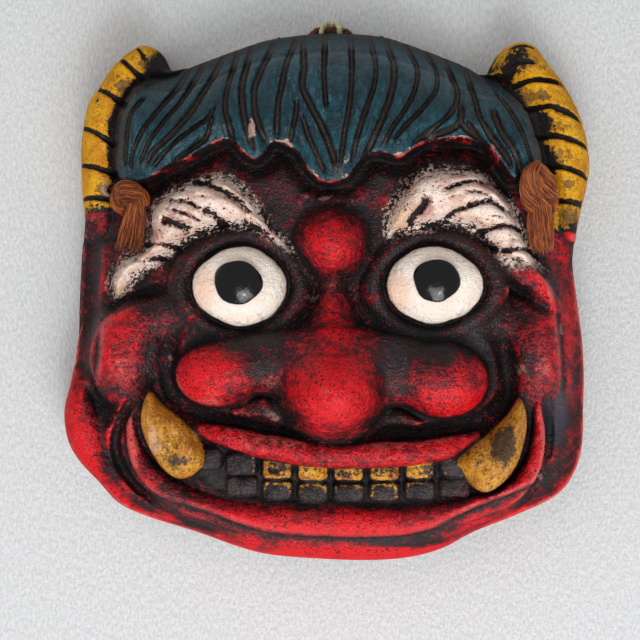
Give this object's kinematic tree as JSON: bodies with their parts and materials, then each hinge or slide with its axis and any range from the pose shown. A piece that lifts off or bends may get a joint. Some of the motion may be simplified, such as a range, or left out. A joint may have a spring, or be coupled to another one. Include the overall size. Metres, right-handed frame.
{
  "type": "ceramic oni mask",
  "caption": "Hollow ceramic demon mask with horns, bulging eyes and fangs, laid face up, with a knotted fibre hanging cord.",
  "frame": {"origin": "bottom centre of the mask's bounding box, on the plane that its back rim lies on", "axes": "+Z out of the face, +Y from the chin to the hair, +X to the right as an onlooker sees the face"},
  "size_m": [0.2104, 0.2166, 0.0785],
  "materials": {
    "painted_ceramic": "worn satin paint, mostly red dry-brushed over black, on unglazed clay",
    "brown_fibre": "coarse rust-brown plant fibre",
    "cream_string": "soft cream string"
  },
  "bodies": {
    "root": {"mask": "painted_ceramic", "hanging_cord": "brown_fibre", "left_knot": "brown_fibre", "right_knot": "brown_fibre", "hanging_loop": "cream_string"}
  },
  "joints": []
}
